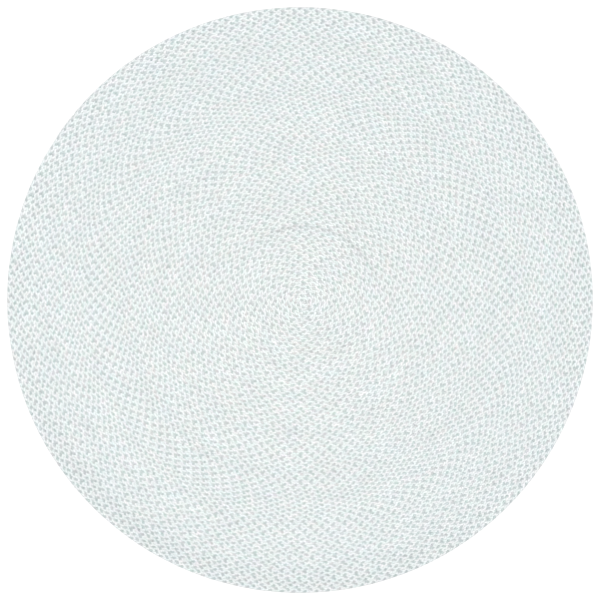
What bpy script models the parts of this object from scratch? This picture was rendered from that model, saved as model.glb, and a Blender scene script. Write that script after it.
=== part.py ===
"""Round braided rug: one flat three-strand plait, coiled from the middle outwards and laced edge to edge.

The rug is one solid. Its top is raised row by row: a crest line runs along the middle of the coiled plait
and a groove line runs between neighbouring rows. Near the rim the rows turn from a spiral into circles with
one short jog, where the plait tapers to nothing, so that the outline is a true circle. The underside is flat.

Units are metres, +Z is up, and the origin is the centre of the underside.
"""

import math

import bmesh
import bpy
from mathutils import Vector

# Driving dimensions
RUG_RADIUS = 0.9144
PLAIT_WIDTH = 0.0142
PLAIT_THICKNESS = 0.009

# The plait's profile, measured from the floor
GROOVE_HEIGHT = 0.0055
RIM_BULGE_HEIGHT = 0.0045
FOOT_INSET = 0.003

# The coil
COIL_MIDDLE = Vector((0.0106, -0.0075))  # where the plait starts, off the outline's centre
END_AZIMUTH = math.radians(156)  # where the plait's end is tucked in at the rim
TAPER = 0.12  # share of a turn over which the end narrows to nothing
ROUNDED_ROWS = 14  # outer rows over which the spiral turns into circles

# Fineness of the rows: sides of the outermost turn, and the fewest on a small turn
RIM_SIDES = 60
FEWEST_SIDES = 12
SAME_TURN = 1e-9  # turn values this close are one

# Finish
IVORY_AND_AQUA = (0.775, 0.815, 0.805, 1.0)
YARN_ROUGHNESS = 0.95
SHARP_FROM = math.radians(60)

SAGITTA = RUG_RADIUS * (1 - math.cos(math.pi / RIM_SIDES))
TURNS = RUG_RADIUS / PLAIT_WIDTH - 0.5  # from the first groove to the end of the plait


def clear_scene():
    """Removes everything that a new file holds."""
    for obj in list(bpy.data.objects):
        bpy.data.objects.remove(obj, do_unlink=True)


def smooth(share):
    """An even rise from 0 to 1."""
    share = min(max(share, 0.0), 1.0)
    return share * share * (3 - 2 * share)


def groove_radius(turn):
    """Radius of the groove line after so many turns. Over the last turn it is the rug's outline."""
    if turn >= TURNS:
        return RUG_RADIUS
    into_turn = (turn - TURNS) % 1.0
    jog = smooth((into_turn - 1 + TAPER) / TAPER)
    roundness = smooth((turn - TURNS + ROUNDED_ROWS) / ROUNDED_ROWS)
    return PLAIT_WIDTH * (0.5 + turn + roundness * (jog - into_turn))


def row_width(turn):
    """Width of the row that starts at the groove line after so many turns."""
    return groove_radius(turn + 1) - groove_radius(turn)


def crest_radius(turn):
    """Radius of the crest line, half way between its two grooves."""
    return groove_radius(turn) + row_width(turn) / 2


def groove_height(turn):
    """Height of the groove line, which drops to the rim's bulge where the last row narrows."""
    reach = min(1.0, (RUG_RADIUS - groove_radius(turn)) / PLAIT_WIDTH)
    return RIM_BULGE_HEIGHT + reach * (GROOVE_HEIGHT - RIM_BULGE_HEIGHT)


def crest_height(turn):
    """Height of the crest line, which drops with the width of its row."""
    fullness = min(1.0, row_width(turn) / PLAIT_WIDTH)
    return RIM_BULGE_HEIGHT + math.sqrt(fullness) * (PLAIT_THICKNESS - RIM_BULGE_HEIGHT)


def place(turn, radius, height):
    """A point of the coil. The coil's middle shift fades out towards the rim."""
    azimuth = END_AZIMUTH + 2 * math.pi * (turn - TURNS)
    shift = COIL_MIDDLE * (1 - (radius / RUG_RADIUS) ** 2)
    x = shift.x + radius * math.cos(azimuth)
    y = shift.y + radius * math.sin(azimuth)
    return Vector((x, y, height))


def step_at(radius):
    """Share of a turn between two points, so that each straight side strays equally little from the round."""
    sides = math.pi / math.acos(1 - min(SAGITTA / radius, 1.0))
    return 1 / max(sides, FEWEST_SIDES)


def stops(first, last, radius_of):
    """Turn values from first to last, by step_at. The last step takes up the rest, at most 1.5 steps."""
    found = [first]
    step = step_at(radius_of(first))
    while found[-1] + 1.5 * step <= last:
        found.append(found[-1] + step)
        step = step_at(radius_of(found[-1]))
    return found + [last]


def add_line(bm, turns, radius_of, height_of):
    """(turn, vertex) pairs along a line of the coil."""
    return [(t, bm.verts.new(place(t, radius_of(t), height_of(t)))) for t in turns]


def add_strip(bm, inner, outer, lag):
    """Fills between two lines of the coil. The outer line's turns are lag ahead at the same azimuth."""
    i = j = 0
    while i + 1 < len(inner) or j + 1 < len(outer):
        inner_is_next = j + 1 == len(outer) or (
            i + 1 < len(inner) and inner[i + 1][0] < outer[j + 1][0] - lag
        )
        a, b = inner[i][1], outer[j][1]
        if inner_is_next:
            i += 1
            add_face(bm, (a, b, inner[i][1]))
        else:
            j += 1
            add_face(bm, (a, b, outer[j][1]))


def add_face(bm, corners):
    """A triangle, unless the lines meet there in one point."""
    if len(set(corners)) == len(corners):
        bm.faces.new(corners)


def between(line, first, last):
    """The part of a line from one turn value to another, both included."""
    return [(t, v) for t, v in line if first - SAME_TURN <= t <= last + SAME_TURN]


def add_top(bm):
    """The ribbed top face. Returns the outline's vertices in order."""
    grooves = stops(0.0, 1.0, groove_radius)
    grooves += stops(1.0, TURNS, groove_radius)[1:]
    groove = add_line(bm, grooves, groove_radius, groove_height)
    end = groove[-1][1]
    rim_turns = [TURNS + side / RIM_SIDES for side in range(1, RIM_SIDES)]
    groove += add_line(bm, rim_turns, groove_radius, groove_height)
    groove.append((TURNS + 1, end))

    crest_turns = stops(0.0, TURNS, crest_radius)[:-1]
    crest = add_line(bm, crest_turns, crest_radius, crest_height)
    crest.append((TURNS, end))

    add_start(bm, between(groove, 0, 1), crest[0][1])
    add_strip(bm, between(groove, 0, TURNS), crest, 0)
    add_strip(bm, crest, between(groove, 1, TURNS + 1), 1)
    return [vertex for turn, vertex in between(groove, TURNS, TURNS + 1)[:-1]]


def add_start(bm, first_groove, crest_start):
    """The plait's start in the middle: a fan from its own crest to the first turn of the groove."""
    middle = bm.verts.new(place(0, 0, PLAIT_THICKNESS))
    ring = [vertex for turn, vertex in first_groove] + [crest_start]
    for a, b in zip(ring, ring[1:] + ring[:1]):
        bm.faces.new((middle, a, b))


def add_side_and_underside(bm, outline):
    """The tucked-in side below the rim's bulge, and the flat underside."""
    inwards = 1 - FOOT_INSET / RUG_RADIUS
    foot = [bm.verts.new((v.co.x * inwards, v.co.y * inwards, 0)) for v in outline]
    count = len(outline)
    for i in range(count):
        j = (i + 1) % count
        bm.faces.new((outline[i], foot[i], foot[j], outline[j]))
    bm.faces.new(list(reversed(foot)))


def yarn_material():
    """Heathered ivory and pale aqua yarn, mixed to one colour."""
    material = bpy.data.materials.new("ivory_aqua_yarn")
    material.use_nodes = True
    shader = material.node_tree.nodes["Principled BSDF"]
    shader.inputs["Base Color"].default_value = IVORY_AND_AQUA
    shader.inputs["Roughness"].default_value = YARN_ROUGHNESS
    shader.inputs["Metallic"].default_value = 0.0
    return material


def braid_coil():
    """The whole rug, as one closed solid."""
    mesh = bpy.data.meshes.new("braid_coil")
    bm = bmesh.new()
    outline = add_top(bm)
    add_side_and_underside(bm, outline)
    bmesh.ops.recalc_face_normals(bm, faces=bm.faces)
    bm.to_mesh(mesh)
    bm.free()
    mesh.shade_smooth()
    mesh.set_sharp_from_angle(angle=SHARP_FROM)
    mesh.materials.append(yarn_material())
    obj = bpy.data.objects.new("braid_coil", mesh)
    bpy.context.scene.collection.objects.link(obj)


clear_scene()
braid_coil()
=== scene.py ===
"""Looks of a round braided rug: one three-strand plait of ivory and pale aqua yarn, coiled flat from the middle.

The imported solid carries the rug's size and place. This script dresses it. The three strands of the plait are laid
along the coil as arched lengths of yarn, which pass over and under each other. A thin coil body under them closes
the rug and shows the plait's lower face. Round the rug stands a plain white studio with a camera that looks
straight down.

Units are metres, +Z is up, and the origin is the centre of the underside.
"""

import logging
import math
from dataclasses import dataclass
from enum import Enum

import bpy
import numpy as np
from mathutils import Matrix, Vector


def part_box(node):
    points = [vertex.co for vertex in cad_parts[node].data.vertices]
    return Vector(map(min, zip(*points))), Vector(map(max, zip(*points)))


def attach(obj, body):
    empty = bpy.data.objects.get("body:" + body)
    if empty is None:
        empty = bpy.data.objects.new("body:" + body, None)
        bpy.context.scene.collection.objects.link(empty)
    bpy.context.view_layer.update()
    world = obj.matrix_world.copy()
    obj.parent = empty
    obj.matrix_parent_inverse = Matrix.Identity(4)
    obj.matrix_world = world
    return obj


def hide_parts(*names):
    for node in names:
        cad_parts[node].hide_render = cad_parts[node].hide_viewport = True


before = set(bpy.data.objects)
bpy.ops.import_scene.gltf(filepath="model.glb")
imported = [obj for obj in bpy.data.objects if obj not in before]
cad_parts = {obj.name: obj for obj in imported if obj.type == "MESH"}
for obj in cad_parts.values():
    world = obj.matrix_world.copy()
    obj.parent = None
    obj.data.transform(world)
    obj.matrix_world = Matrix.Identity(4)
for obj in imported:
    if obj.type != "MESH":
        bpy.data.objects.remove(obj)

log = logging.getLogger("braided_rug")

CAD_NODE = "braid_coil"
BODY = "root"

YARN_MAP = "Yarn"  # u counts repeats along the strand or row, v runs from 0 to 1 across it
BAKE_MAP = "OFBake"
UPPER_FACE = 2.0  # what the coil body's upper face adds to v

FULL_CIRCLE = 2 * math.pi
MILLIMETRES = 1000  # to a metre
TINY = 1e-9  # keeps rounding, or a division by nothing, from showing

Colour = tuple[float, float, float]
Socket = bpy.types.NodeSocket
Value = Socket | float | tuple[float, ...]  # what a node's input is linked or set to


class Slot(Enum):
    """The record's material slots."""

    IVORY = "ivory_yarn"
    AQUA = "aqua_yarn"


class Part(Enum):
    """Which stretch of the coil a piece covers. Each has half of the plait's length."""

    INNER = "inner"
    OUTER = "outer"


def smooth(share: np.ndarray) -> np.ndarray:
    """An even rise from 0 to 1.

    Args:
        share: Where on the way each value is. Values outside 0 to 1 count as 0 or 1.

    Returns:
        The risen shares.
    """
    share = np.clip(share, 0.0, 1.0)
    return share * share * (3 - 2 * share)


@dataclass(frozen=True)
class Coil:
    """The line that the plait follows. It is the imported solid's own law, so both have their rows in one place.

    radius is the rug's, and middle the coil's own middle, a little off the rug's. At end_azimuth the plait narrows
    to nothing, over a share of a turn that taper gives. Over the outer rounded_rows the spiral turns into circles.
    """

    radius: float
    plait_width: float = 0.0142
    middle: tuple[float, float] = (0.0106, -0.0075)
    end_azimuth: float = math.radians(156)
    taper: float = 0.12
    rounded_rows: float = 14

    @property
    def turns(self) -> float:
        """Turns from the first groove to the end of the plait."""
        return self.radius / self.plait_width - 0.5

    def groove_radius(self, turn: np.ndarray) -> np.ndarray:
        """Radius of the groove line between two rows.

        Args:
            turn: Turns from the first groove.

        Returns:
            Radii in metres. Over the last turn this is the rug's outline.
        """
        into_turn = np.mod(turn - self.turns, 1.0)
        jog = smooth((into_turn - 1 + self.taper) / self.taper)
        roundness = smooth((turn - self.turns + self.rounded_rows) / self.rounded_rows)
        inside = self.plait_width * (0.5 + turn + roundness * (jog - into_turn))
        return np.where(turn >= self.turns - TINY, self.radius, inside)

    def row_width(self, turn: np.ndarray) -> np.ndarray:
        """Width of the row that starts at the groove line after so many turns."""
        return self.groove_radius(turn + 1) - self.groove_radius(turn)

    def place(self, turn: np.ndarray, radius: np.ndarray) -> np.ndarray:
        """Points of the coil as seen from above.

        Args:
            turn: Turns from the first groove, which give the azimuth.
            radius: Distance from the coil's middle, whose shift fades out towards the rim.

        Returns:
            One row of x and y for each point.
        """
        azimuth = self.end_azimuth + FULL_CIRCLE * (turn - self.turns)
        fade = 1 - (radius / self.radius) ** 2
        x = self.middle[0] * fade + radius * np.cos(azimuth)
        y = self.middle[1] * fade + radius * np.sin(azimuth)
        return np.stack([x, y], axis=-1)

    def crest(self, turn: np.ndarray) -> np.ndarray:
        """Points along the middle of the row."""
        radius = self.groove_radius(turn) + self.row_width(turn) / 2
        return self.place(turn, radius)


@dataclass(frozen=True)
class Plait:
    """How the three strands swing from side to side, rise and fall, and how long a colour repeat is.

    A repeat is one whole swing of a strand. The maker's pull varies, so the repeat's length changes along the way:
    pull gives it, in metres, by the row's radius. A strand is lifted a little early, before it is furthest out.
    pinch is how much narrower it is where it crosses the plait's middle, or wider where pinch is negative.
    mid_height is the middle of its rise and fall. Its crown stands higher by arch, its feet lie lower by foot, and
    none of it lies below lowest.
    """

    swing: float = 0.0038
    rise: float = 0.0024
    early: float = 0.06
    mid_height: float = 0.0049
    strand_width: float = 0.0072
    pinch: float = -0.2
    arch: float = 0.0018
    foot: float = 0.0028
    lowest: float = 0.003
    pull: tuple[tuple[float, float], ...] = (
        (0.05, 0.0357),
        (0.14, 0.0357),
        (0.30, 0.0364),
        (0.46, 0.0359),
        (0.56, 0.03415),
        (0.65, 0.0352),
        (0.74, 0.0359),
        (0.91, 0.0359),
    )

    def repeat_length(self, radius: np.ndarray) -> np.ndarray:
        """Length of a colour repeat in rows of that radius."""
        at, length = zip(*self.pull)
        return np.interp(radius, at, length)


@dataclass(frozen=True)
class PlaitPlaces:
    """Places along the plait, one entry for each phase that was asked for.

    centre is the middle of the plait, along and outwards are unit vectors, pace is the plait's length for each
    radian, fullness the row's width over a full row's, and bend the radius at which the plait curves.
    """

    centre: np.ndarray
    along: np.ndarray
    outwards: np.ndarray
    pace: np.ndarray
    fullness: np.ndarray
    bend: np.ndarray


class PlaitLine:
    """The plait laid along the coil: it turns a phase into a place."""

    FIRST_TURN = -0.93  # the plait starts just off the coil's middle
    START_FULLNESS = 0.5  # how slim the tucked-in start is
    START_LENGTH = 0.012
    LEAST_FULLNESS = 0.12  # where the tapered end is cut
    STEPS = 360  # points for each turn

    def __init__(self, coil: Coil, plait: Plait) -> None:
        """Lays the plait.

        Args:
            coil: The line that it follows.
            plait: Its measures.
        """
        turn = np.arange(self.FIRST_TURN, coil.turns, 1 / self.STEPS)
        full = coil.row_width(turn) / coil.plait_width
        turn = turn[full >= self.LEAST_FULLNESS]
        centre = coil.crest(turn)
        step = np.gradient(centre, axis=0)
        length = np.linalg.norm(step, axis=1)
        radius = np.linalg.norm(centre - np.array(coil.middle), axis=1)
        pace = plait.repeat_length(radius) / FULL_CIRCLE
        phase_step = length / pace
        self.coil = coil
        self.turn = turn
        self.centre = centre
        self.along = step / length[:, None]
        self.pace = pace
        begun = smooth(np.cumsum(length) / self.START_LENGTH)
        self.fullness = np.minimum(coil.row_width(turn) / coil.plait_width, 1.0)
        self.fullness *= self.START_FULLNESS + (1 - self.START_FULLNESS) * begun
        self.phase = np.concatenate([[0.0], np.cumsum((phase_step[1:] + phase_step[:-1]) / 2)])
        heading = np.unwrap(np.arctan2(self.along[:, 1], self.along[:, 0]))
        self.bend = length / np.maximum(np.abs(np.gradient(heading)), TINY)

    @property
    def last_phase(self) -> float:
        """The phase at which the plait ends."""
        return float(self.phase[-1])

    def phase_at(self, turn: np.ndarray) -> np.ndarray:
        """The phase of the plait after so many turns."""
        return np.interp(turn, self.turn, self.phase)

    def at(self, phase: np.ndarray) -> PlaitPlaces:
        """Looks up places by phase.

        Args:
            phase: Angles in radians from the plait's start.

        Returns:
            The places, in the order of the phases.
        """

        def read(values: np.ndarray) -> np.ndarray:
            """The laid values at these phases."""
            return np.interp(phase, self.phase, values)

        along = np.stack([read(self.along[:, 0]), read(self.along[:, 1])], axis=-1)
        along /= np.linalg.norm(along, axis=1)[:, None]
        return PlaitPlaces(
            centre=np.stack([read(self.centre[:, 0]), read(self.centre[:, 1])], axis=-1),
            along=along,
            outwards=np.stack([along[:, 1], -along[:, 0]], axis=-1),
            pace=read(self.pace),
            fullness=read(self.fullness),
            bend=read(self.bend),
        )


def grid_mesh(name: str, points: np.ndarray, faces: np.ndarray) -> bpy.types.Mesh:
    """Makes a smooth mesh of quads from arrays.

    Args:
        name: The mesh's name.
        points: One row of x, y and z for each vertex.
        faces: One row of four vertex numbers for each face. A last number of -1 marks a triangle.

    Returns:
        The new mesh.
    """
    mesh = bpy.data.meshes.new(name)
    sides = np.where(faces[:, 3] < 0, 3, 4)
    corners = faces.ravel()
    corners = corners[corners >= 0]
    mesh.vertices.add(len(points))
    mesh.vertices.foreach_set("co", points.astype(np.float32).ravel())
    mesh.loops.add(len(corners))
    mesh.loops.foreach_set("vertex_index", corners.astype(np.int32))
    mesh.polygons.add(len(faces))
    starts = np.concatenate([[0], np.cumsum(sides)[:-1]])
    mesh.polygons.foreach_set("loop_start", starts.astype(np.int32))
    mesh.update(calc_edges=True)
    mesh.shade_smooth()
    return mesh


def add_map(mesh: bpy.types.Mesh, name: str, corners: np.ndarray) -> None:
    """Adds a UV map.

    Args:
        mesh: The mesh that gets it.
        name: The map's name.
        corners: One row of u and v for each corner of each face.
    """
    layer = mesh.uv_layers.new(name=name, do_init=False)
    layer.uv.foreach_set("vector", corners.astype(np.float32).ravel())


def add_piece(name: str, mesh: bpy.types.Mesh, material: bpy.types.Material, slot: Slot) -> bpy.types.Object:
    """Puts a finished mesh in the scene as a piece of the rug.

    Args:
        name: The piece's name.
        mesh: Its mesh, in the row frame.
        material: Its finish.
        slot: The record's slot that the finish belongs to.

    Returns:
        The new object, which rides on the rug's body.
    """
    mesh.materials.append(material)
    piece = bpy.data.objects.new(name, mesh)
    bpy.context.scene.collection.objects.link(piece)
    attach(piece, BODY)
    log.info("%s: %d faces in %s", name, len(mesh.polygons), slot.value)
    return piece


class Nodes:
    """A shorthand for building a material's nodes."""

    CELL_SOFTNESS = 0.3

    def __init__(self, name: str) -> None:
        """Starts a material with its shader.

        Args:
            name: The material's name.
        """
        self.material = bpy.data.materials.new(name)
        self.material.use_nodes = True
        self.tree = self.material.node_tree
        self.shader = self.tree.nodes["Principled BSDF"]

    def add(self, kind: str, *values: Value, **settings: object) -> bpy.types.Node:
        """Adds a node.

        Args:
            kind: Blender's name for its type.
            *values: What its first inputs get.
            **settings: Its properties.

        Returns:
            The new node.
        """
        node = self.tree.nodes.new(kind)
        for key, setting in settings.items():
            setattr(node, key, setting)
        for socket, value in zip(node.inputs, values):
            self.put(socket, value)
        return node

    def put(self, socket: Socket, value: Value) -> None:
        """Links another node's output to an input, or sets the input's number.

        Args:
            socket: The input.
            value: What it gets.
        """
        if isinstance(value, Socket):
            self.tree.links.new(value, socket)
        else:
            socket.default_value = value

    def math(self, operation: str, *values: Value, clamp: bool = False) -> Socket:
        """A sum of one to three values.

        Args:
            operation: Blender's name for it, such as ADD.
            *values: Sockets or numbers.
            clamp: Whether the result is held between 0 and 1.

        Returns:
            The result's socket.
        """
        return self.add("ShaderNodeMath", *values, operation=operation, use_clamp=clamp).outputs[0]

    def sum_up(self, start: Value, *terms: tuple[Value, float]) -> Socket:
        """Adds terms to a start.

        Args:
            start: A socket or number.
            *terms: Each term with its weight.

        Returns:
            The sum's socket.
        """
        for term, weight in terms:
            start = self.math("MULTIPLY_ADD", term, weight, start)
        return start

    def humps(self, value: Socket) -> Socket:
        """Round humps, up to 1 high, each from one whole number to the next."""
        off_middle = self.math("MULTIPLY_ADD", self.math("FRACT", value), 2.0, -1.0)
        return self.math("SUBTRACT", 1.0, self.math("MULTIPLY", off_middle, off_middle))

    def vector(self, x: Value, y: Value, z: Value = 0.0) -> Socket:
        """A vector of three sockets or numbers."""
        return self.add("ShaderNodeCombineXYZ", x, y, z).outputs[0]

    def x_and_y(self, vector: Socket) -> tuple[Socket, Socket]:
        """The first two numbers of a vector, which are u and v in a map."""
        node = self.add("ShaderNodeSeparateXYZ", vector)
        return node.outputs[0], node.outputs[1]

    def yarn_map(self) -> tuple[Socket, Socket]:
        """The yarn map's u and v."""
        return self.x_and_y(self.add("ShaderNodeUVMap", uv_map=YARN_MAP).outputs[0])

    def chance(self, x: Value, y: Value) -> Socket:
        """A value from 0 to 1 that is drawn anew for each pair of whole numbers."""
        return self.add("ShaderNodeTexWhiteNoise", self.vector(x, y), noise_dimensions="2D").outputs["Value"]

    def noise(self, at: Socket, scale: float, detail: float) -> Socket:
        """Soft noise round 0.5.

        Args:
            at: The place that it reads.
            scale: How many lumps there are to a unit.
            detail: How much finer noise is laid over it.

        Returns:
            The noise's socket.
        """
        node = self.add("ShaderNodeTexNoise", at, noise_dimensions="3D")
        node.inputs["Scale"].default_value = scale
        node.inputs["Detail"].default_value = detail
        return node.outputs["Fac"]

    def cells(self, at: Socket, scale: float) -> Socket:
        """A value from 0 to 1 that is drawn anew for each of many small cells, with soft borders.

        Args:
            at: The place that it reads.
            scale: How many cells there are to a unit.

        Returns:
            The value's socket.
        """
        node = self.add("ShaderNodeTexVoronoi", at, voronoi_dimensions="3D", feature="SMOOTH_F1")
        node.inputs["Scale"].default_value = scale
        node.inputs["Smoothness"].default_value = self.CELL_SOFTNESS
        return self.add("ShaderNodeSeparateColor", node.outputs["Color"]).outputs[0]

    def ramp(self, share: Socket, colours: tuple[Colour, ...]) -> Socket:
        """Runs through colours.

        Args:
            share: How far on the way it is, from 0 to 1.
            colours: The colours, at even distances.

        Returns:
            The colour's socket.
        """
        node = self.add("ShaderNodeValToRGB", share)
        stops = node.color_ramp.elements
        while len(stops) < len(colours):
            stops.new(0.5)
        for i, colour in enumerate(colours):
            stops[i].position = i / (len(colours) - 1)
            stops[i].color = (*colour, 1.0)
        return node.outputs["Color"]

    def blend(self, how: str, share: Value, one: Value, other: Value) -> Socket:
        """Mixes two colours.

        Args:
            how: Blender's name for the mix, such as MIX or MULTIPLY.
            share: How much of the other there is.
            one: The first colour.
            other: The second colour.

        Returns:
            The mixed colour's socket.
        """
        node = self.add("ShaderNodeMix", share, data_type="RGBA", blend_type=how)
        sockets = [s for s in node.inputs if s.type == "RGBA"]
        self.put(sockets[0], one)
        self.put(sockets[1], other)
        return next(s for s in node.outputs if s.type == "RGBA")

    def rise(self, value: Socket, start: float, end: float) -> Socket:
        """An even rise from 0, where value is start, to 1, where it is end."""
        return self.add("ShaderNodeMapRange", value, start, end, interpolation_type="SMOOTHSTEP").outputs[0]

    def distance(self, x: Socket, y: Socket) -> Socket:
        """Length of a flat vector."""
        square = self.math("MULTIPLY_ADD", x, x, self.math("MULTIPLY", y, y))
        return self.math("SQRT", square)

    def facing(self, x: Socket, y: Socket, azimuth: float) -> Socket:
        """Cosine of the angle between a flat vector and an azimuth in radians."""
        reach = self.math("MULTIPLY_ADD", x, math.cos(azimuth), self.math("MULTIPLY", y, math.sin(azimuth)))
        return self.math("DIVIDE", reach, self.distance(x, y))

    def scaled(self, colour: Socket, amount: Socket) -> Socket:
        """A colour made lighter or darker.

        Args:
            colour: The colour.
            amount: What it is multiplied with.

        Returns:
            The new colour's socket.
        """
        node = self.add("ShaderNodeVectorMath", colour, operation="SCALE")
        self.put(node.inputs["Scale"], amount)
        return node.outputs[0]

    def bump(self, height: Socket, strength: float, distance: float) -> None:
        """Gives the surface relief.

        Args:
            height: Its height from 0 to 1.
            strength: How much of the slope shows.
            distance: What a height of 1 measures, in metres.
        """
        node = self.add("ShaderNodeBump")
        node.inputs["Strength"].default_value = strength
        node.inputs["Distance"].default_value = distance
        self.put(node.inputs["Height"], height)
        self.put(self.shader.inputs["Normal"], node.outputs[0])

    def surface(self, colour: Value, roughness: float, specular: float, sheen: float = 0.0) -> None:
        """Sets the shader's colour and the way it takes light.

        Args:
            colour: The surface's colour.
            roughness: How matt it is, up to 1.
            specular: How strongly it reflects, where 0.5 is usual.
            sheen: How much light its fuzz catches.
        """
        self.put(self.shader.inputs["Base Color"], colour)
        self.shader.inputs["Roughness"].default_value = roughness
        self.shader.inputs["Specular IOR Level"].default_value = specular
        self.shader.inputs["Sheen Weight"].default_value = sheen


@dataclass(frozen=True)
class Furrow:
    """A shallow furrow that a fold has left along a few rows, as an arc round the coil's middle.

    It lies within the far angle either side of its azimuth, and is full within the near one. shade is painted
    shade: how much darker the yarn's colour is made at its bottom, where a shadow falls.
    """

    centre: tuple[float, float] = (0.0099, -0.0070)
    radius: float = 0.2376
    half_width: float = 0.0085
    depth: float = 0.0024
    azimuth: float = 66.0
    near: float = 25.0
    far: float = 66.0
    shade: float = 0.14

    def depths(self, flat: np.ndarray) -> np.ndarray:
        """How deep the furrow is.

        Args:
            flat: One row of x and y for each point.

        Returns:
            Depths in metres.
        """
        x, y = (flat - np.array(self.centre)).T
        off = np.abs(np.hypot(x, y) - self.radius)
        turned = np.degrees(np.arctan2(y, x)) - self.azimuth
        turned = np.abs(np.mod(turned + 180, 360) - 180)
        across = 1 - smooth(off / self.half_width)
        return self.depth * across * (1 - smooth((turned - self.near) / (self.far - self.near)))

    def darkness(self, nodes: Nodes, x: Socket, y: Socket) -> Socket:
        """How dark the furrow looks.

        Args:
            nodes: The material that asks.
            x: Object coordinate.
            y: Object coordinate.

        Returns:
            The share of light that is missing.
        """
        x, y = nodes.math("SUBTRACT", x, self.centre[0]), nodes.math("SUBTRACT", y, self.centre[1])
        off = nodes.math("ABSOLUTE", nodes.math("SUBTRACT", nodes.distance(x, y), self.radius))
        across = nodes.math("SUBTRACT", 1.0, nodes.rise(off, 0.0, self.half_width))
        edges = math.cos(math.radians(self.far)), math.cos(math.radians(self.near))
        along = nodes.rise(nodes.facing(x, y, math.radians(self.azimuth)), *edges)
        return nodes.math("MULTIPLY", nodes.math("MULTIPLY", across, along), self.shade)


FURROW = Furrow()


@dataclass(frozen=True)
class DyeDriftAndShade:
    """How a yarn's colour drifts over the whole rug, from one skein to the next, with painted shade laid over it.

    middle and rim are what its colour is multiplied with there. edge is how much darker the outer rows are dyed all
    round. patch is painted shade: how much darker still they are made towards patch_azimuth, where less light
    falls. streak and blotch are the strengths of soft rings and of spots that are a little greener or rosier, or
    cooler or warmer. The furrow's painted shade is laid on as well.

    The colour changes over the fade and the outer rows darken over outer_rows, both shares of the rug's radius,
    and the patch sets in between the two cosines of patch_edge. rings is how fine the rings are over the radius,
    and rosy_spots and cool_spots how fine the spots are to a metre. A rosy spot has more red, by its whole
    strength. rosy_blue, cool_red and cool_blue are the shares of it by which the spots change a colour besides.
    """

    middle: Colour
    rim: Colour
    edge: float
    patch: float
    blotch: float
    patch_azimuth: float = 255.0
    patch_edge: tuple[float, float] = (0.4, 0.92)
    fade: tuple[float, float] = (0.15, 1.0)
    outer_rows: tuple[float, float] = (0.87, 0.97)
    rug_radius: float = 0.9144
    streak: float = 0.05
    rings: float = 20.0
    rosy_spots: float = 42.0
    cool_spots: float = 16.0
    rosy_blue: float = 0.35
    cool_red: float = -0.15
    cool_blue: float = 0.4
    COOL_LAYER = 3.0  # keeps the cool spots' noise apart from the rosy ones'

    def dye_and_shade(self, nodes: Nodes, colour: Socket) -> Socket:
        """Lays the drift, and the painted shade of the patch and the furrow, over a colour.

        Args:
            nodes: The material that is dyed.
            colour: Its even colour.

        Returns:
            The drifting colour's socket.
        """
        x, y = nodes.x_and_y(nodes.add("ShaderNodeTexCoord").outputs["Object"])
        radius = nodes.math("DIVIDE", nodes.distance(x, y), self.rug_radius)
        change = nodes.blend("MIX", nodes.rise(radius, *self.fade), (*self.middle, 1.0), (*self.rim, 1.0))

        # the outer rows' darker dye all round, plus painted shade towards patch_azimuth
        towards = nodes.rise(nodes.facing(x, y, math.radians(self.patch_azimuth)), *self.patch_edge)
        rim_dye_and_shade = nodes.math("MULTIPLY_ADD", towards, self.patch, self.edge)
        rim_dye_and_shade = nodes.math("MULTIPLY", nodes.rise(radius, *self.outer_rows), rim_dye_and_shade)
        ring_spot = nodes.vector(nodes.math("MULTIPLY", radius, self.rings), x, y)
        rings = nodes.noise(ring_spot, scale=1.0, detail=0.0)
        shade = nodes.math("MULTIPLY_ADD", rings, self.streak, 1 - self.streak / 2)
        shade = nodes.math("SUBTRACT", shade, rim_dye_and_shade)
        # painted shade at the bottom of the furrow
        shade = nodes.math("SUBTRACT", shade, FURROW.darkness(nodes, x, y))

        rosy = nodes.noise(nodes.vector(x, y), self.rosy_spots, detail=1.0)
        rosy = nodes.math("SUBTRACT", rosy, 0.5)
        cool = nodes.noise(nodes.vector(x, y, self.COOL_LAYER), self.cool_spots, detail=1.0)
        cool = nodes.math("SUBTRACT", cool, 0.5)
        red = nodes.sum_up(1.0, (rosy, self.blotch), (cool, self.cool_red * self.blotch))
        blue = nodes.sum_up(1.0, (rosy, self.rosy_blue * self.blotch), (cool, self.cool_blue * self.blotch))
        change = nodes.blend("MULTIPLY", 1.0, change, nodes.vector(red, 1.0, blue))
        return nodes.blend("MULTIPLY", 1.0, colour, nodes.scaled(change, shade))


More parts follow.
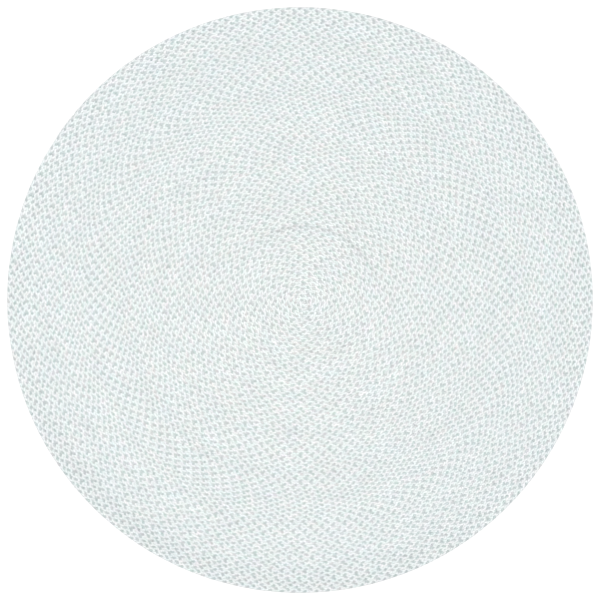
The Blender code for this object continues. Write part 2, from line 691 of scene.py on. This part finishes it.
@dataclass(frozen=True)
class Yarn:
    """Soft heathered yarn, whose plies are each a shade lighter or darker.

    tones runs from the darkest fibres to the lightest. A spot's place between them is base_tone, less half of
    fleck_weight, plus a share of the weights of its leaf, ply, fleck and fibre. tints is what the leaves' colours
    are multiplied with, by tint_share.

    crease and groove say where across a strand, from 0 at the groove to 1 at the plait's middle, the light starts
    to fail, and where crease_shade and groove_shade of it are gone. repeat and girth are the lengths in metres
    that one unit of u and v of the yarn map stands for. A scale is how fine fibres or flecks are to a millimetre,
    and a stretch makes them longer the further it is below 1. plies is how many lie side by side in a strand, and
    twist how many of them they shift sideways in a repeat.
    """

    name: str
    slot: Slot
    tones: tuple[Colour, ...]
    tints: tuple[Colour, ...]
    # how the yarn's colour drifts, with painted shade laid over it
    drift: DyeDriftAndShade
    base_tone: float = 0.21
    leaf_weight: float = 0.06
    ply_weight: float = 0.22
    fleck_weight: float = 0.65
    fibre_weight: float = 0.3
    tint_share: float = 0.7
    crease: tuple[float, float] = (0.57, 0.94)
    crease_shade: float = 0.47
    groove: tuple[float, float] = (0.35, 0.0)
    groove_shade: float = 0.43
    fibre_scale: float = 2.6
    fibre_stretch: float = 0.22
    fleck_scale: float = 0.42
    fleck_stretch: float = 0.8
    plies: float = 5.0
    twist: float = 2.0
    repeat: float = 0.041
    girth: float = 0.0095
    fibre_relief: float = 0.35
    ply_relief: float = 0.65
    relief_strength: float = 0.7
    relief_height: float = 0.0006
    roughness: float = 0.95
    specular: float = 0.2
    sheen: float = 0.15
    sheen_roughness: float = 0.6
    LEAVES = 2.0  # leaves of one strand to a repeat
    TONE_DRAW, TINT_DRAW = 7.0, 23.0  # keep the leaves' two draws apart
    LEAF_LAYER = 7.0  # keeps the flecks of one leaf apart from the next one's

    def material(self) -> bpy.types.Material:
        """Builds the finish.

        Returns:
            The material, which reads the yarn map.
        """
        nodes = Nodes(self.name)
        u, v = nodes.yarn_map()
        leaf = nodes.math("FLOOR", nodes.math("MULTIPLY", u, self.LEAVES))
        ply = nodes.math("MULTIPLY_ADD", v, self.plies, nodes.math("MULTIPLY", u, self.twist))
        ply_number = nodes.math("FLOOR", ply)

        along = nodes.math("MULTIPLY", u, self.repeat * MILLIMETRES)
        across = nodes.math("MULTIPLY", v, self.girth * MILLIMETRES)
        fibre_spot = nodes.vector(nodes.math("MULTIPLY", along, self.fibre_stretch), across, ply_number)
        fibres = nodes.noise(fibre_spot, self.fibre_scale, detail=2.0)
        layer = nodes.math("MULTIPLY", leaf, self.LEAF_LAYER)
        fleck_spot = nodes.vector(nodes.math("MULTIPLY", along, self.fleck_stretch), across, layer)
        flecks = nodes.cells(fleck_spot, self.fleck_scale)

        tone = nodes.sum_up(
            self.base_tone - self.fleck_weight / 2,
            (nodes.chance(leaf, self.TONE_DRAW), self.leaf_weight),
            (nodes.chance(ply_number, leaf), self.ply_weight),
            (flecks, self.fleck_weight),
        )
        tone = nodes.math("MULTIPLY_ADD", fibres, self.fibre_weight, tone, clamp=True)
        tint = nodes.ramp(nodes.chance(leaf, self.TINT_DRAW), self.tints)
        colour = nodes.blend("MULTIPLY", self.tint_share, nodes.ramp(tone, self.tones), tint)
        groove_side = nodes.math("FLOORED_MODULO", leaf, self.LEAVES)
        inwards = nodes.math("ABSOLUTE", nodes.math("SUBTRACT", v, groove_side))
        light = nodes.sum_up(
            1.0,
            (nodes.rise(inwards, *self.crease), -self.crease_shade),
            (nodes.rise(inwards, *self.groove), -self.groove_shade),
        )
        # the drifting dye, with the painted shade of the patch and the furrow
        colour = self.drift.dye_and_shade(nodes, nodes.scaled(colour, light))
        nodes.surface(colour, self.roughness, self.specular, self.sheen)
        nodes.shader.inputs["Sheen Roughness"].default_value = self.sheen_roughness

        plies = nodes.math("MULTIPLY", nodes.humps(ply), self.ply_relief)
        height = nodes.math("MULTIPLY_ADD", fibres, self.fibre_relief, plies)
        nodes.bump(height, self.relief_strength, self.relief_height)
        return nodes.material


AQUA = Yarn(
    name="aqua_heather",
    slot=Slot.AQUA,
    tones=((0.465, 0.509, 0.509), (0.63, 0.675, 0.676), (0.8, 0.843, 0.842)),
    tints=((0.93, 1.0, 0.99), (1.05, 1.0, 1.03), (0.91, 1.0, 0.965), (1.1, 1.01, 1.02)),
    drift=DyeDriftAndShade(middle=(1.015, 1.005, 1.0), rim=(0.965, 0.98, 0.987), edge=0.05, patch=0.045, blotch=0.2),
)
IVORY = Yarn(
    name="ivory_heather",
    slot=Slot.IVORY,
    tones=((0.706, 0.742, 0.741), (0.827, 0.864, 0.862), (0.944, 0.98, 0.978)),
    tints=((0.965, 1.0, 0.985), (1.03, 1.0, 1.02), (0.975, 1.0, 1.0), (1.035, 1.0, 1.0)),
    drift=DyeDriftAndShade(middle=(1.0, 1.0, 0.998), rim=(0.987, 0.993, 0.999), edge=-0.008, patch=0.035, blotch=0.17),
)


class Uneven(Enum):
    """What varies along a strand, as in any plait made by hand: the largest change, and which draw it is."""

    SWING = (0.11, 1)
    LEAD = (0.2, 2)
    WIDTH = (0.14, 3)
    ARCH = (0.12, 4)


@dataclass
class Strand:
    """One of the plait's three strands.

    lag is its place in the swing, as a share of a repeat, and girth its width over the plait's usual strand.
    """

    name: str
    lag: float
    girth: float
    yarn: Yarn
    seed: int

    # Rings in each half of a swing, in degrees. Between the last ring and the next first one the strand runs
    # hidden under its neighbours.
    STOPS = (52.0, 94.0, 136.0, 180.0)
    # Corners of the arch, from its inner foot over its crown to its outer foot: share of half the strand's width,
    # share of the arch's height, and share of the way round.
    ARCH = ((-1.3, 0.0, 0.0), (-0.58, 1.0, 0.3), (0.58, 1.0, 0.7), (1.3, 0.0, 1.0))
    BEND_REACH = 0.85  # how far towards the middle of a bend the strand may reach
    SEED_STEP = 100  # from one strand's draws to the next one's
    BAKED_COLUMNS = 4  # the bake's map has cells, each with one repeat of the strand
    BAKED_ROWS = 16
    BAKED_INSET = 0.02  # the margin in a cell

    def rings(self, line: PlaitLine) -> tuple[np.ndarray, int]:
        """Swing angles of the strand's rings.

        Args:
            line: The laid plait.

        Returns:
            Angles in radians over the whole strand, the first and last just past the plait's start and end, and
            the number of the first ring.
        """
        lag = FULL_CIRCLE * self.lag
        half_swings = np.arange(-1, int((line.last_phase + lag) / math.pi) + 2)
        stops = np.radians(np.array(self.STOPS))
        angles = (half_swings[:, None] * math.pi + stops[None, :]).ravel()
        before = np.flatnonzero(angles <= lag)[-1]
        after = np.flatnonzero(angles >= line.last_phase + lag)[0]
        return angles[before : after + 1], before

    def unevenness(self, angle: np.ndarray, what: Uneven) -> np.ndarray:
        """Small random changes along the strand.

        Args:
            angle: Swing angles of the rings.
            what: What varies.

        Returns:
            The change at each ring. It runs evenly from one half swing to the next.
        """
        amount, draw = what.value
        halves = int(angle[-1] / math.pi) + 3
        drawn = np.random.default_rng(self.seed * self.SEED_STEP + draw).uniform(-amount, amount, halves)
        return np.interp(angle / math.pi, np.arange(-1, halves - 1), drawn)

    def points(self, angle: np.ndarray, line: PlaitLine, plait: Plait) -> np.ndarray:
        """Corners of every ring.

        Args:
            angle: Swing angles of the rings.
            line: The laid plait.
            plait: Its measures.

        Returns:
            An array of rings by corners by x, y and z.
        """
        phase = np.clip(angle - FULL_CIRCLE * self.lag, 0.0, line.last_phase)
        angle = phase + FULL_CIRCLE * self.lag
        at = line.at(phase)
        swing = plait.swing * at.fullness * (1 + self.unevenness(angle, Uneven.SWING))
        swung = angle + self.unevenness(angle, Uneven.LEAD)
        side = swing * np.sin(swung)
        drift = swing * np.cos(swung)
        tall = np.sqrt(at.fullness)
        height = plait.mid_height - tall * plait.rise * np.sin(2 * (swung + plait.early))

        heading = at.pace[:, None] * at.along + drift[:, None] * at.outwards
        heading /= np.linalg.norm(heading, axis=1)[:, None]
        cross = np.stack([heading[:, 1], -heading[:, 0]], axis=-1)
        pinched = 1 - plait.pinch * np.cos(2 * swung)
        half_width = self.girth * pinched * plait.strand_width / 2 * at.fullness
        half_width *= 1 + self.unevenness(angle, Uneven.WIDTH)
        arch = plait.arch * tall * (1 + self.unevenness(angle, Uneven.ARCH))

        corners = []
        for out, up, _ in self.ARCH:
            reach = cross * (out * half_width)[:, None]
            outwards = side + (reach * at.outwards).sum(1)
            outwards = np.maximum(outwards, -self.BEND_REACH * at.bend)
            along = (reach * at.along).sum(1)
            flat = at.centre + at.outwards * outwards[:, None] + at.along * along[:, None]
            flat *= np.minimum(1.0, line.coil.radius / np.linalg.norm(flat, axis=1))[:, None]
            level = np.maximum(height + up * arch - (1 - up) * plait.foot * tall, plait.lowest)
            level -= FURROW.depths(flat)
            corners.append(np.column_stack([flat, level]))
        return np.stack(corners, axis=1)

    def faces(self, rings: int) -> np.ndarray:
        """Quads between neighbouring rings, facing up and out.

        Args:
            rings: How many rings there are.

        Returns:
            One row of four corner numbers for each quad.
        """
        wide = len(self.ARCH)
        ring, corner = np.meshgrid(np.arange(rings - 1), np.arange(wide - 1), indexing="ij")
        first = (ring * wide + corner).ravel()
        return np.stack([first, first + 1, first + wide + 1, first + wide], axis=-1)

    def maps(self, first: int, count: int) -> tuple[np.ndarray, np.ndarray]:
        """The yarn map and the bake's map.

        Args:
            first: Number of the piece's first segment in the whole strand.
            count: How many segments it has.

        Returns:
            For each map, one row of u and v for each corner of each face.
        """
        stops = np.array([*self.STOPS, *(np.array(self.STOPS) + 180), self.STOPS[0] + 360])
        share = (stops - stops[0]) / 360
        per_repeat = len(share) - 1
        segment = np.arange(first, first + count)
        cell = (segment // per_repeat) % (self.BAKED_COLUMNS * self.BAKED_ROWS)
        start, end = share[segment % per_repeat], share[segment % per_repeat + 1]
        round_it = np.array([r for _, _, r in self.ARCH])
        across = len(round_it) - 1
        u = np.stack([start, start, end, end], axis=-1)[:, None, :].repeat(across, axis=1)
        v = np.stack([round_it[:-1], round_it[1:], round_it[1:], round_it[:-1]], axis=-1)
        v = v[None, :, :].repeat(count, axis=0)
        yarn = np.stack([u + cell[:, None, None], v], axis=-1)
        column, row = cell % self.BAKED_COLUMNS, cell // self.BAKED_COLUMNS
        baked = [
            (place[:, None, None] + self.BAKED_INSET + (1 - 2 * self.BAKED_INSET) * share) / places
            for place, share, places in ((column, u, self.BAKED_COLUMNS), (row, v, self.BAKED_ROWS))
        ]
        return yarn.reshape(-1, 2), np.stack(baked, axis=-1).reshape(-1, 2)

    def build(self, line: PlaitLine, plait: Plait, material: bpy.types.Material) -> list[bpy.types.Object]:
        """Makes the strand as two pieces, the inner rows' and the outer rows'.

        Args:
            line: The laid plait.
            plait: Its measures.
            material: The strand's finish.

        Returns:
            The pieces.
        """
        angle, offset = self.rings(line)
        corners = self.points(angle, line, plait)
        per_repeat = 2 * len(self.STOPS)
        half = (len(angle) - 1) // 2 // per_repeat * per_repeat - offset
        pieces = []
        for part, first, last in ((Part.INNER, 0, half), (Part.OUTER, half, len(angle) - 1)):
            rings = corners[first : last + 1]
            faces = self.faces(len(rings))
            name = f"{self.name}_{part.value}_rows"
            mesh = grid_mesh(name, rings.reshape(-1, 3), faces)
            yarn_map, bake_map = self.maps(offset + first, last - first)
            add_map(mesh, YARN_MAP, yarn_map)
            add_map(mesh, BAKE_MAP, bake_map)
            pieces.append(add_piece(name, mesh, material, self.yarn.slot))
        return pieces

@dataclass(frozen=True)
class PlaitFaces:
    """The finish of the coil body: the plait's two faces, with the leaves of its strands as colour and relief.

    The upper face shows in the grooves alone, in the colours of the strands beside it. On the lower face the
    strands lie in the same places and lean the other way. Shifts and slants are shares of a repeat, below and
    above. A spot's shade is base_shade plus a share of the weights of its leaf, fibre and fleck. On the lower
    face crease is painted shade taken off it where two leaves meet, along the row's middle and at its groove, and
    leaf_edge, middle_edge and groove_edge are how wide those painted creases are.
    repeat and half_row are the lengths in millimetres that the fibres and flecks are laid by, and after tile
    repeats all starts anew.
    """

    name: str = "plait_faces"
    ivory: Colour = (0.8, 0.836, 0.833)
    aqua: Colour = (0.6, 0.645, 0.645)
    shifts: tuple[float, float] = (0.6, 0.237)
    slants: tuple[float, float] = (-0.166, 0.166)
    tile: float = 16.0
    repeat: float = 36.0
    half_row: float = 7.0
    fibre_scale: float = 1.2
    fleck_scale: float = 0.8
    base_shade: float = 0.86
    leaf_weight: float = 0.12
    fibre_weight: float = 0.16
    fleck_weight: float = 0.06
    crease: float = 0.16
    leaf_edge: tuple[float, float] = (0.0, 0.4)
    middle_edge: tuple[float, float] = (0.0, 0.12)
    groove_edge: tuple[float, float] = (1.0, 0.85)
    fibre_relief: float = 0.2
    leaf_relief: float = 0.8
    relief_strength: float = 0.8
    relief_height: float = 0.0015
    roughness: float = 0.95
    specular: float = 0.2
    sheen: float = 0.15
    STRANDS = 3.0

    def material(self) -> bpy.types.Material:
        """Builds the finish.

        Returns:
            The material, which reads the yarn map.
        """
        nodes = Nodes(self.name)
        u, v = nodes.yarn_map()
        u = nodes.math("MODULO", u, self.tile)
        upper = nodes.math("GREATER_THAN", v, UPPER_FACE - 0.5)
        across = nodes.math("MULTIPLY_ADD", upper, -UPPER_FACE, v)
        side = nodes.math("MULTIPLY_ADD", across, 2.0, -1.0)
        off_middle = nodes.math("ABSOLUTE", side)
        outer = nodes.math("GREATER_THAN", side, 0.0)

        slant, shift = (
            nodes.math("MULTIPLY_ADD", upper, above - below, below) for below, above in (self.slants, self.shifts)
        )
        lean = nodes.math("MULTIPLY_ADD", off_middle, slant, nodes.math("ADD", u, shift))
        lean = nodes.math("MULTIPLY_ADD", outer, 0.5, lean)
        leaf = nodes.math("MULTIPLY", lean, self.STRANDS)
        number = nodes.math("FLOOR", leaf)
        roundness = nodes.humps(leaf)
        is_aqua = nodes.math("LESS_THAN", nodes.math("FLOORED_MODULO", number, self.STRANDS), 0.5)

        place = nodes.vector(nodes.math("MULTIPLY", u, self.repeat), nodes.math("MULTIPLY", side, self.half_row))
        fibres = nodes.noise(place, self.fibre_scale, detail=2.0)
        shade = nodes.sum_up(
            self.base_shade,
            (nodes.chance(number, outer), self.leaf_weight),
            (fibres, self.fibre_weight),
            (nodes.cells(place, self.fleck_scale), self.fleck_weight),
        )
        # painted shade on the lower face: darker where two leaves meet, along the row's middle and at its groove
        in_leaf = nodes.rise(roundness, *self.leaf_edge)
        plain = nodes.math("MINIMUM", in_leaf, nodes.rise(off_middle, *self.middle_edge))
        plain = nodes.math("MULTIPLY", plain, nodes.rise(off_middle, *self.groove_edge))
        crease = nodes.math("SUBTRACT", 1.0, plain)
        depth = nodes.math("MULTIPLY_ADD", upper, self.crease, -self.crease)
        shade = nodes.math("MULTIPLY_ADD", crease, depth, shade)
        colour = nodes.blend("MIX", is_aqua, (*self.ivory, 1.0), (*self.aqua, 1.0))
        colour = nodes.blend("MULTIPLY", 1.0, colour, nodes.vector(shade, shade, shade))
        nodes.surface(colour, self.roughness, self.specular, self.sheen)

        leaves = nodes.math("MULTIPLY", roundness, self.leaf_relief)
        height = nodes.math("MULTIPLY_ADD", fibres, self.fibre_relief, leaves)
        nodes.bump(height, self.relief_strength, self.relief_height)
        return nodes.material


@dataclass(frozen=True)
class BodyFace:
    """The upper or lower face of the coil body, with its outer side down.

    quads and fan are its faces as grid_mesh takes them, corner_map is the yarn map of the quads' corners, and
    outline holds the numbers of the vertices round it.
    """

    points: np.ndarray
    quads: np.ndarray
    fan: np.ndarray
    corner_map: np.ndarray
    outline: np.ndarray


@dataclass
class CoilBody:
    """The closed body under the strands. It fills the grooves' bottoms above, and its rows are rounded below.

    top, top_groove and top_rim are the heights of its upper face under the middle of a row, under a groove and at
    the rim. groove is how deep the grooves of its lower face are, and foot the height of the rim there. rim_inset
    and foot_inset are how far the two rims lie inside the rug's outline.
    """

    coil: Coil
    sectors: int = 144  # sides of each turn
    top: float = 0.004
    top_groove: float = 0.0056
    top_rim: float = 0.0042
    groove: float = 0.0024
    rim_inset: float = 0.0006
    foot_inset: float = 0.0030
    foot: float = 0.0012
    RIM_ACROSS = (0.9, 1.0)  # what the side shows of the rim's row, as shares of its width
    START_LEAF = (0.25, 0.5)  # a place in the yarn map on an ivory leaf, for the plait's start
    # Corners across a row's underside: share of its width, and height as a share of the groove's depth.
    PROFILE = ((0.0, 1.0), (0.2, 0.22), (0.5, 0.0), (0.8, 0.22))
    BAKED_REPEATS = 16.0  # the finish's tile

    def turns(self) -> np.ndarray:
        """Turn values of the groove line's vertices, the last of which closes the outline."""
        last = int(self.coil.turns * self.sectors)
        return self.coil.turns - (last - np.arange(last + self.sectors)) / self.sectors

    def face(self, profile: tuple[tuple[float, float], ...], line: PlaitLine) -> BodyFace:
        """One face of the body, made of the rows' own strips.

        Args:
            profile: Corners across a row, each with its share of the width and its height in metres.
            line: The laid plait, for the yarn map.

        Returns:
            The face.
        """
        turn = self.turns()
        sectors, wide = self.sectors, len(profile)
        rows = len(turn) - sectors
        inner = self.coil.groove_radius(turn)
        points = [np.column_stack([self.coil.place(turn, inner), np.full(len(turn), profile[0][1])])]
        number = {0: np.arange(len(turn))}
        begun = len(turn)
        for k in range(1, wide):
            share, level = profile[k]
            radius = inner[:rows] + share * self.coil.row_width(turn[:rows])
            points.append(np.column_stack([self.coil.place(turn[:rows], radius), np.full(rows, level)]))
            # At the plait's end every line meets in the outline's first vertex.
            number[k] = np.append(begun + np.arange(rows), rows)
            begun += rows
        middle = self.coil.place(np.zeros(1), np.zeros(1))
        points.append(np.column_stack([middle, [profile[-1][1]]]))

        here = np.arange(rows)
        outer = np.append(np.arange(len(turn)), rows)
        number[wide] = outer[np.minimum(np.arange(rows + 1) + sectors, len(turn))]
        shares = [share for share, _ in profile] + [1.0]
        phase = line.phase_at(turn[: rows + 1]) / FULL_CIRCLE
        faces, corners = [], []
        for k in range(wide):
            a, b = number[k], number[k + 1]
            faces.append(np.stack([a[here], a[here + 1], b[here + 1], b[here]], axis=-1))
            u = np.stack([phase[here], phase[here + 1], phase[here + 1], phase[here]], axis=-1)
            v = np.array([shares[k], shares[k], shares[k + 1], shares[k + 1]])
            corners.append(np.stack([u, np.broadcast_to(v, u.shape)], axis=-1))
        start = [number[k][0] for k in range(wide - 1, 0, -1)]
        ring = np.array([*range(sectors + 1), *start])
        fan = np.stack([np.full(len(ring), begun), np.roll(ring, -1), ring, np.full(len(ring), -1)], axis=-1)
        return BodyFace(
            points=np.vstack(points),
            quads=np.vstack(faces),
            fan=fan,
            corner_map=np.vstack(corners),
            outline=np.arange(rows, rows + sectors),
        )

    def build(self, line: PlaitLine, material: bpy.types.Material) -> bpy.types.Object:
        """Makes the body.

        Args:
            line: The laid plait.
            material: The body's finish.

        Returns:
            The piece.
        """
        below = self.face(tuple((share, level * self.groove) for share, level in self.PROFILE), line)
        above = self.face(((0.0, self.top_groove), (0.5, self.top)), line)
        for face, inset, level in ((below, self.foot_inset, self.foot), (above, self.rim_inset, self.top_rim)):
            face.points[face.outline, :2] *= 1 - inset / self.coil.radius
            face.points[face.outline, 2] = level
        above.points[:, 2] -= FURROW.depths(above.points[:, :2])
        shift = len(below.points)
        foot, rim = below.outline, above.outline + shift
        side = np.stack([foot, np.roll(foot, -1), np.roll(rim, -1), rim], axis=-1)
        top_quads = above.quads[:, ::-1] + shift
        top_fan = above.fan[:, [0, 2, 1, 3]]
        top_fan[:, :3] += shift

        rim_phase = line.phase_at(self.turns()[foot] - 1) / FULL_CIRCLE
        step = np.diff(rim_phase, append=2 * rim_phase[-1] - rim_phase[-2])
        rim_u = np.stack([rim_phase, rim_phase + step, rim_phase + step, rim_phase], axis=-1)
        rim_v = np.broadcast_to(np.repeat(self.RIM_ACROSS, 2), rim_u.shape)

        faces = np.vstack([below.quads, side, top_quads, below.fan, top_fan])
        to_top, start = np.array([0.0, UPPER_FACE]), np.array(self.START_LEAF)
        rim_map = np.stack([rim_u, rim_v], axis=-1)
        quads = np.vstack([below.corner_map, rim_map, above.corner_map[:, ::-1] + to_top])
        fans = [np.tile(start, (3 * len(below.fan), 1)), np.tile(start + to_top, (3 * len(top_fan), 1))]
        corners = np.vstack([quads.reshape(-1, 2), *fans])
        faces, keep = self.without_flat_corners(faces)
        mesh = grid_mesh("coil_body", np.vstack([below.points, above.points]), faces)
        corners = corners[keep]
        add_map(mesh, YARN_MAP, corners)
        halves = np.where(corners[:, 1] >= UPPER_FACE, corners[:, 1] - UPPER_FACE + 1, corners[:, 1]) / 2
        add_map(mesh, BAKE_MAP, np.column_stack([corners[:, 0] / self.BAKED_REPEATS, halves]))
        return add_piece("coil_body", mesh, material, Slot.IVORY)

    @staticmethod
    def without_flat_corners(faces: np.ndarray) -> tuple[np.ndarray, np.ndarray]:
        """Turns quads with two corners in one vertex into triangles.

        Args:
            faces: One row of four vertex numbers a face, with -1 last in a triangle.

        Returns:
            The faces, and which of the given corners are still used.
        """
        given = faces >= 0
        flat = faces == np.roll(faces, -1, axis=1)
        used = given & ~flat
        packed = faces.copy()
        for i in np.flatnonzero(flat.any(axis=1)):
            kept = faces[i][used[i]]
            packed[i] = -1
            packed[i, : len(kept)] = kept
        whole = (packed >= 0).sum(axis=1) >= 3
        return packed[whole], (used & whole[:, None]).ravel()[given.ravel()]


@dataclass
class Rug:
    """The whole rug: its three strands over the coil body."""

    coil: Coil
    plait: Plait

    def build(self) -> None:
        line = PlaitLine(self.coil, self.plait)
        log.info("plait of %.0f repeats", line.last_phase / FULL_CIRCLE)
        aqua, ivory = AQUA.material(), IVORY.material()
        strands = (
            (Strand("aqua_strand", lag=0.0, girth=0.94, yarn=AQUA, seed=1), aqua),
            (Strand("first_ivory_strand", lag=1 / 3, girth=1.02, yarn=IVORY, seed=2), ivory),
            (Strand("second_ivory_strand", lag=2 / 3, girth=1.02, yarn=IVORY, seed=3), ivory),
        )
        pieces = []
        for strand, material in strands:
            pieces += strand.build(line, self.plait, material)
        body = CoilBody(self.coil).build(line, PlaitFaces().material())
        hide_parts(CAD_NODE)


@dataclass
class Studio:
    """A white floor, soft even light and a camera straight above the rug.

    The floor lies floor_gap under the rug, so that their faces are apart. lamp_angle is how wide the lamp is, in
    degrees, and clip the nearest and furthest that the camera sees.
    """

    picture_width: float = 1.8756
    camera_height: float = 6.0
    sensor: float = 36.0
    clip: tuple[float, float] = (0.1, 100.0)
    floor_side: float = 80.0
    floor_gap: float = 0.0002
    floor_colour: Colour = (0.96, 0.96, 0.96)
    world_strength: float = 1.0
    lamp_strength: float = 0.8
    lamp_angle: float = 80.0

    def floor(self) -> None:
        """Adds the floor, which isn't part of the rug."""
        bpy.ops.object.select_all(action="DESELECT")
        bpy.ops.mesh.primitive_plane_add(size=self.floor_side, location=(0, 0, -self.floor_gap))
        floor = bpy.context.object
        floor.name = "studio_floor"
        nodes = Nodes("studio_white")
        nodes.surface((*self.floor_colour, 1.0), roughness=1.0, specular=0.0)
        floor.data.materials.append(nodes.material)

    def light(self) -> None:
        """Lights the studio evenly, a little stronger from above."""
        world = bpy.data.worlds.new("studio_light")
        bpy.context.scene.world = world
        world.use_nodes = True
        background = world.node_tree.nodes["Background"]
        background.inputs["Color"].default_value = (1.0, 1.0, 1.0, 1.0)
        background.inputs["Strength"].default_value = self.world_strength
        lamp = bpy.data.lights.new("soft_lamp", "SUN")
        lamp.energy = self.lamp_strength
        lamp.angle = math.radians(self.lamp_angle)
        lamp_object = bpy.data.objects.new("soft_lamp", lamp)
        bpy.context.scene.collection.objects.link(lamp_object)

    def camera(self) -> None:
        """Puts the camera above the rug, with the picture's top towards +Y."""
        camera = bpy.data.cameras.new("camera")
        camera.sensor_width = self.sensor
        camera.lens = self.sensor * self.camera_height / self.picture_width
        camera.clip_start, camera.clip_end = self.clip
        holder = bpy.data.objects.new("camera", camera)
        holder.location = (0.0, 0.0, self.camera_height)
        bpy.context.scene.collection.objects.link(holder)
        bpy.context.scene.camera = holder

    def build(self) -> None:
        """Builds the studio."""
        self.floor()
        self.light()
        self.camera()
        bpy.context.scene.view_settings.view_transform = "Standard"


def main() -> None:
    """Builds the rug and the studio in order."""
    logging.basicConfig(level=logging.INFO, format="%(name)s: %(message)s")
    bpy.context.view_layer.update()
    _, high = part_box(CAD_NODE)
    Rug(Coil(radius=high.x), Plait()).build()
    Studio().build()


if __name__ == "__main__":
    main()
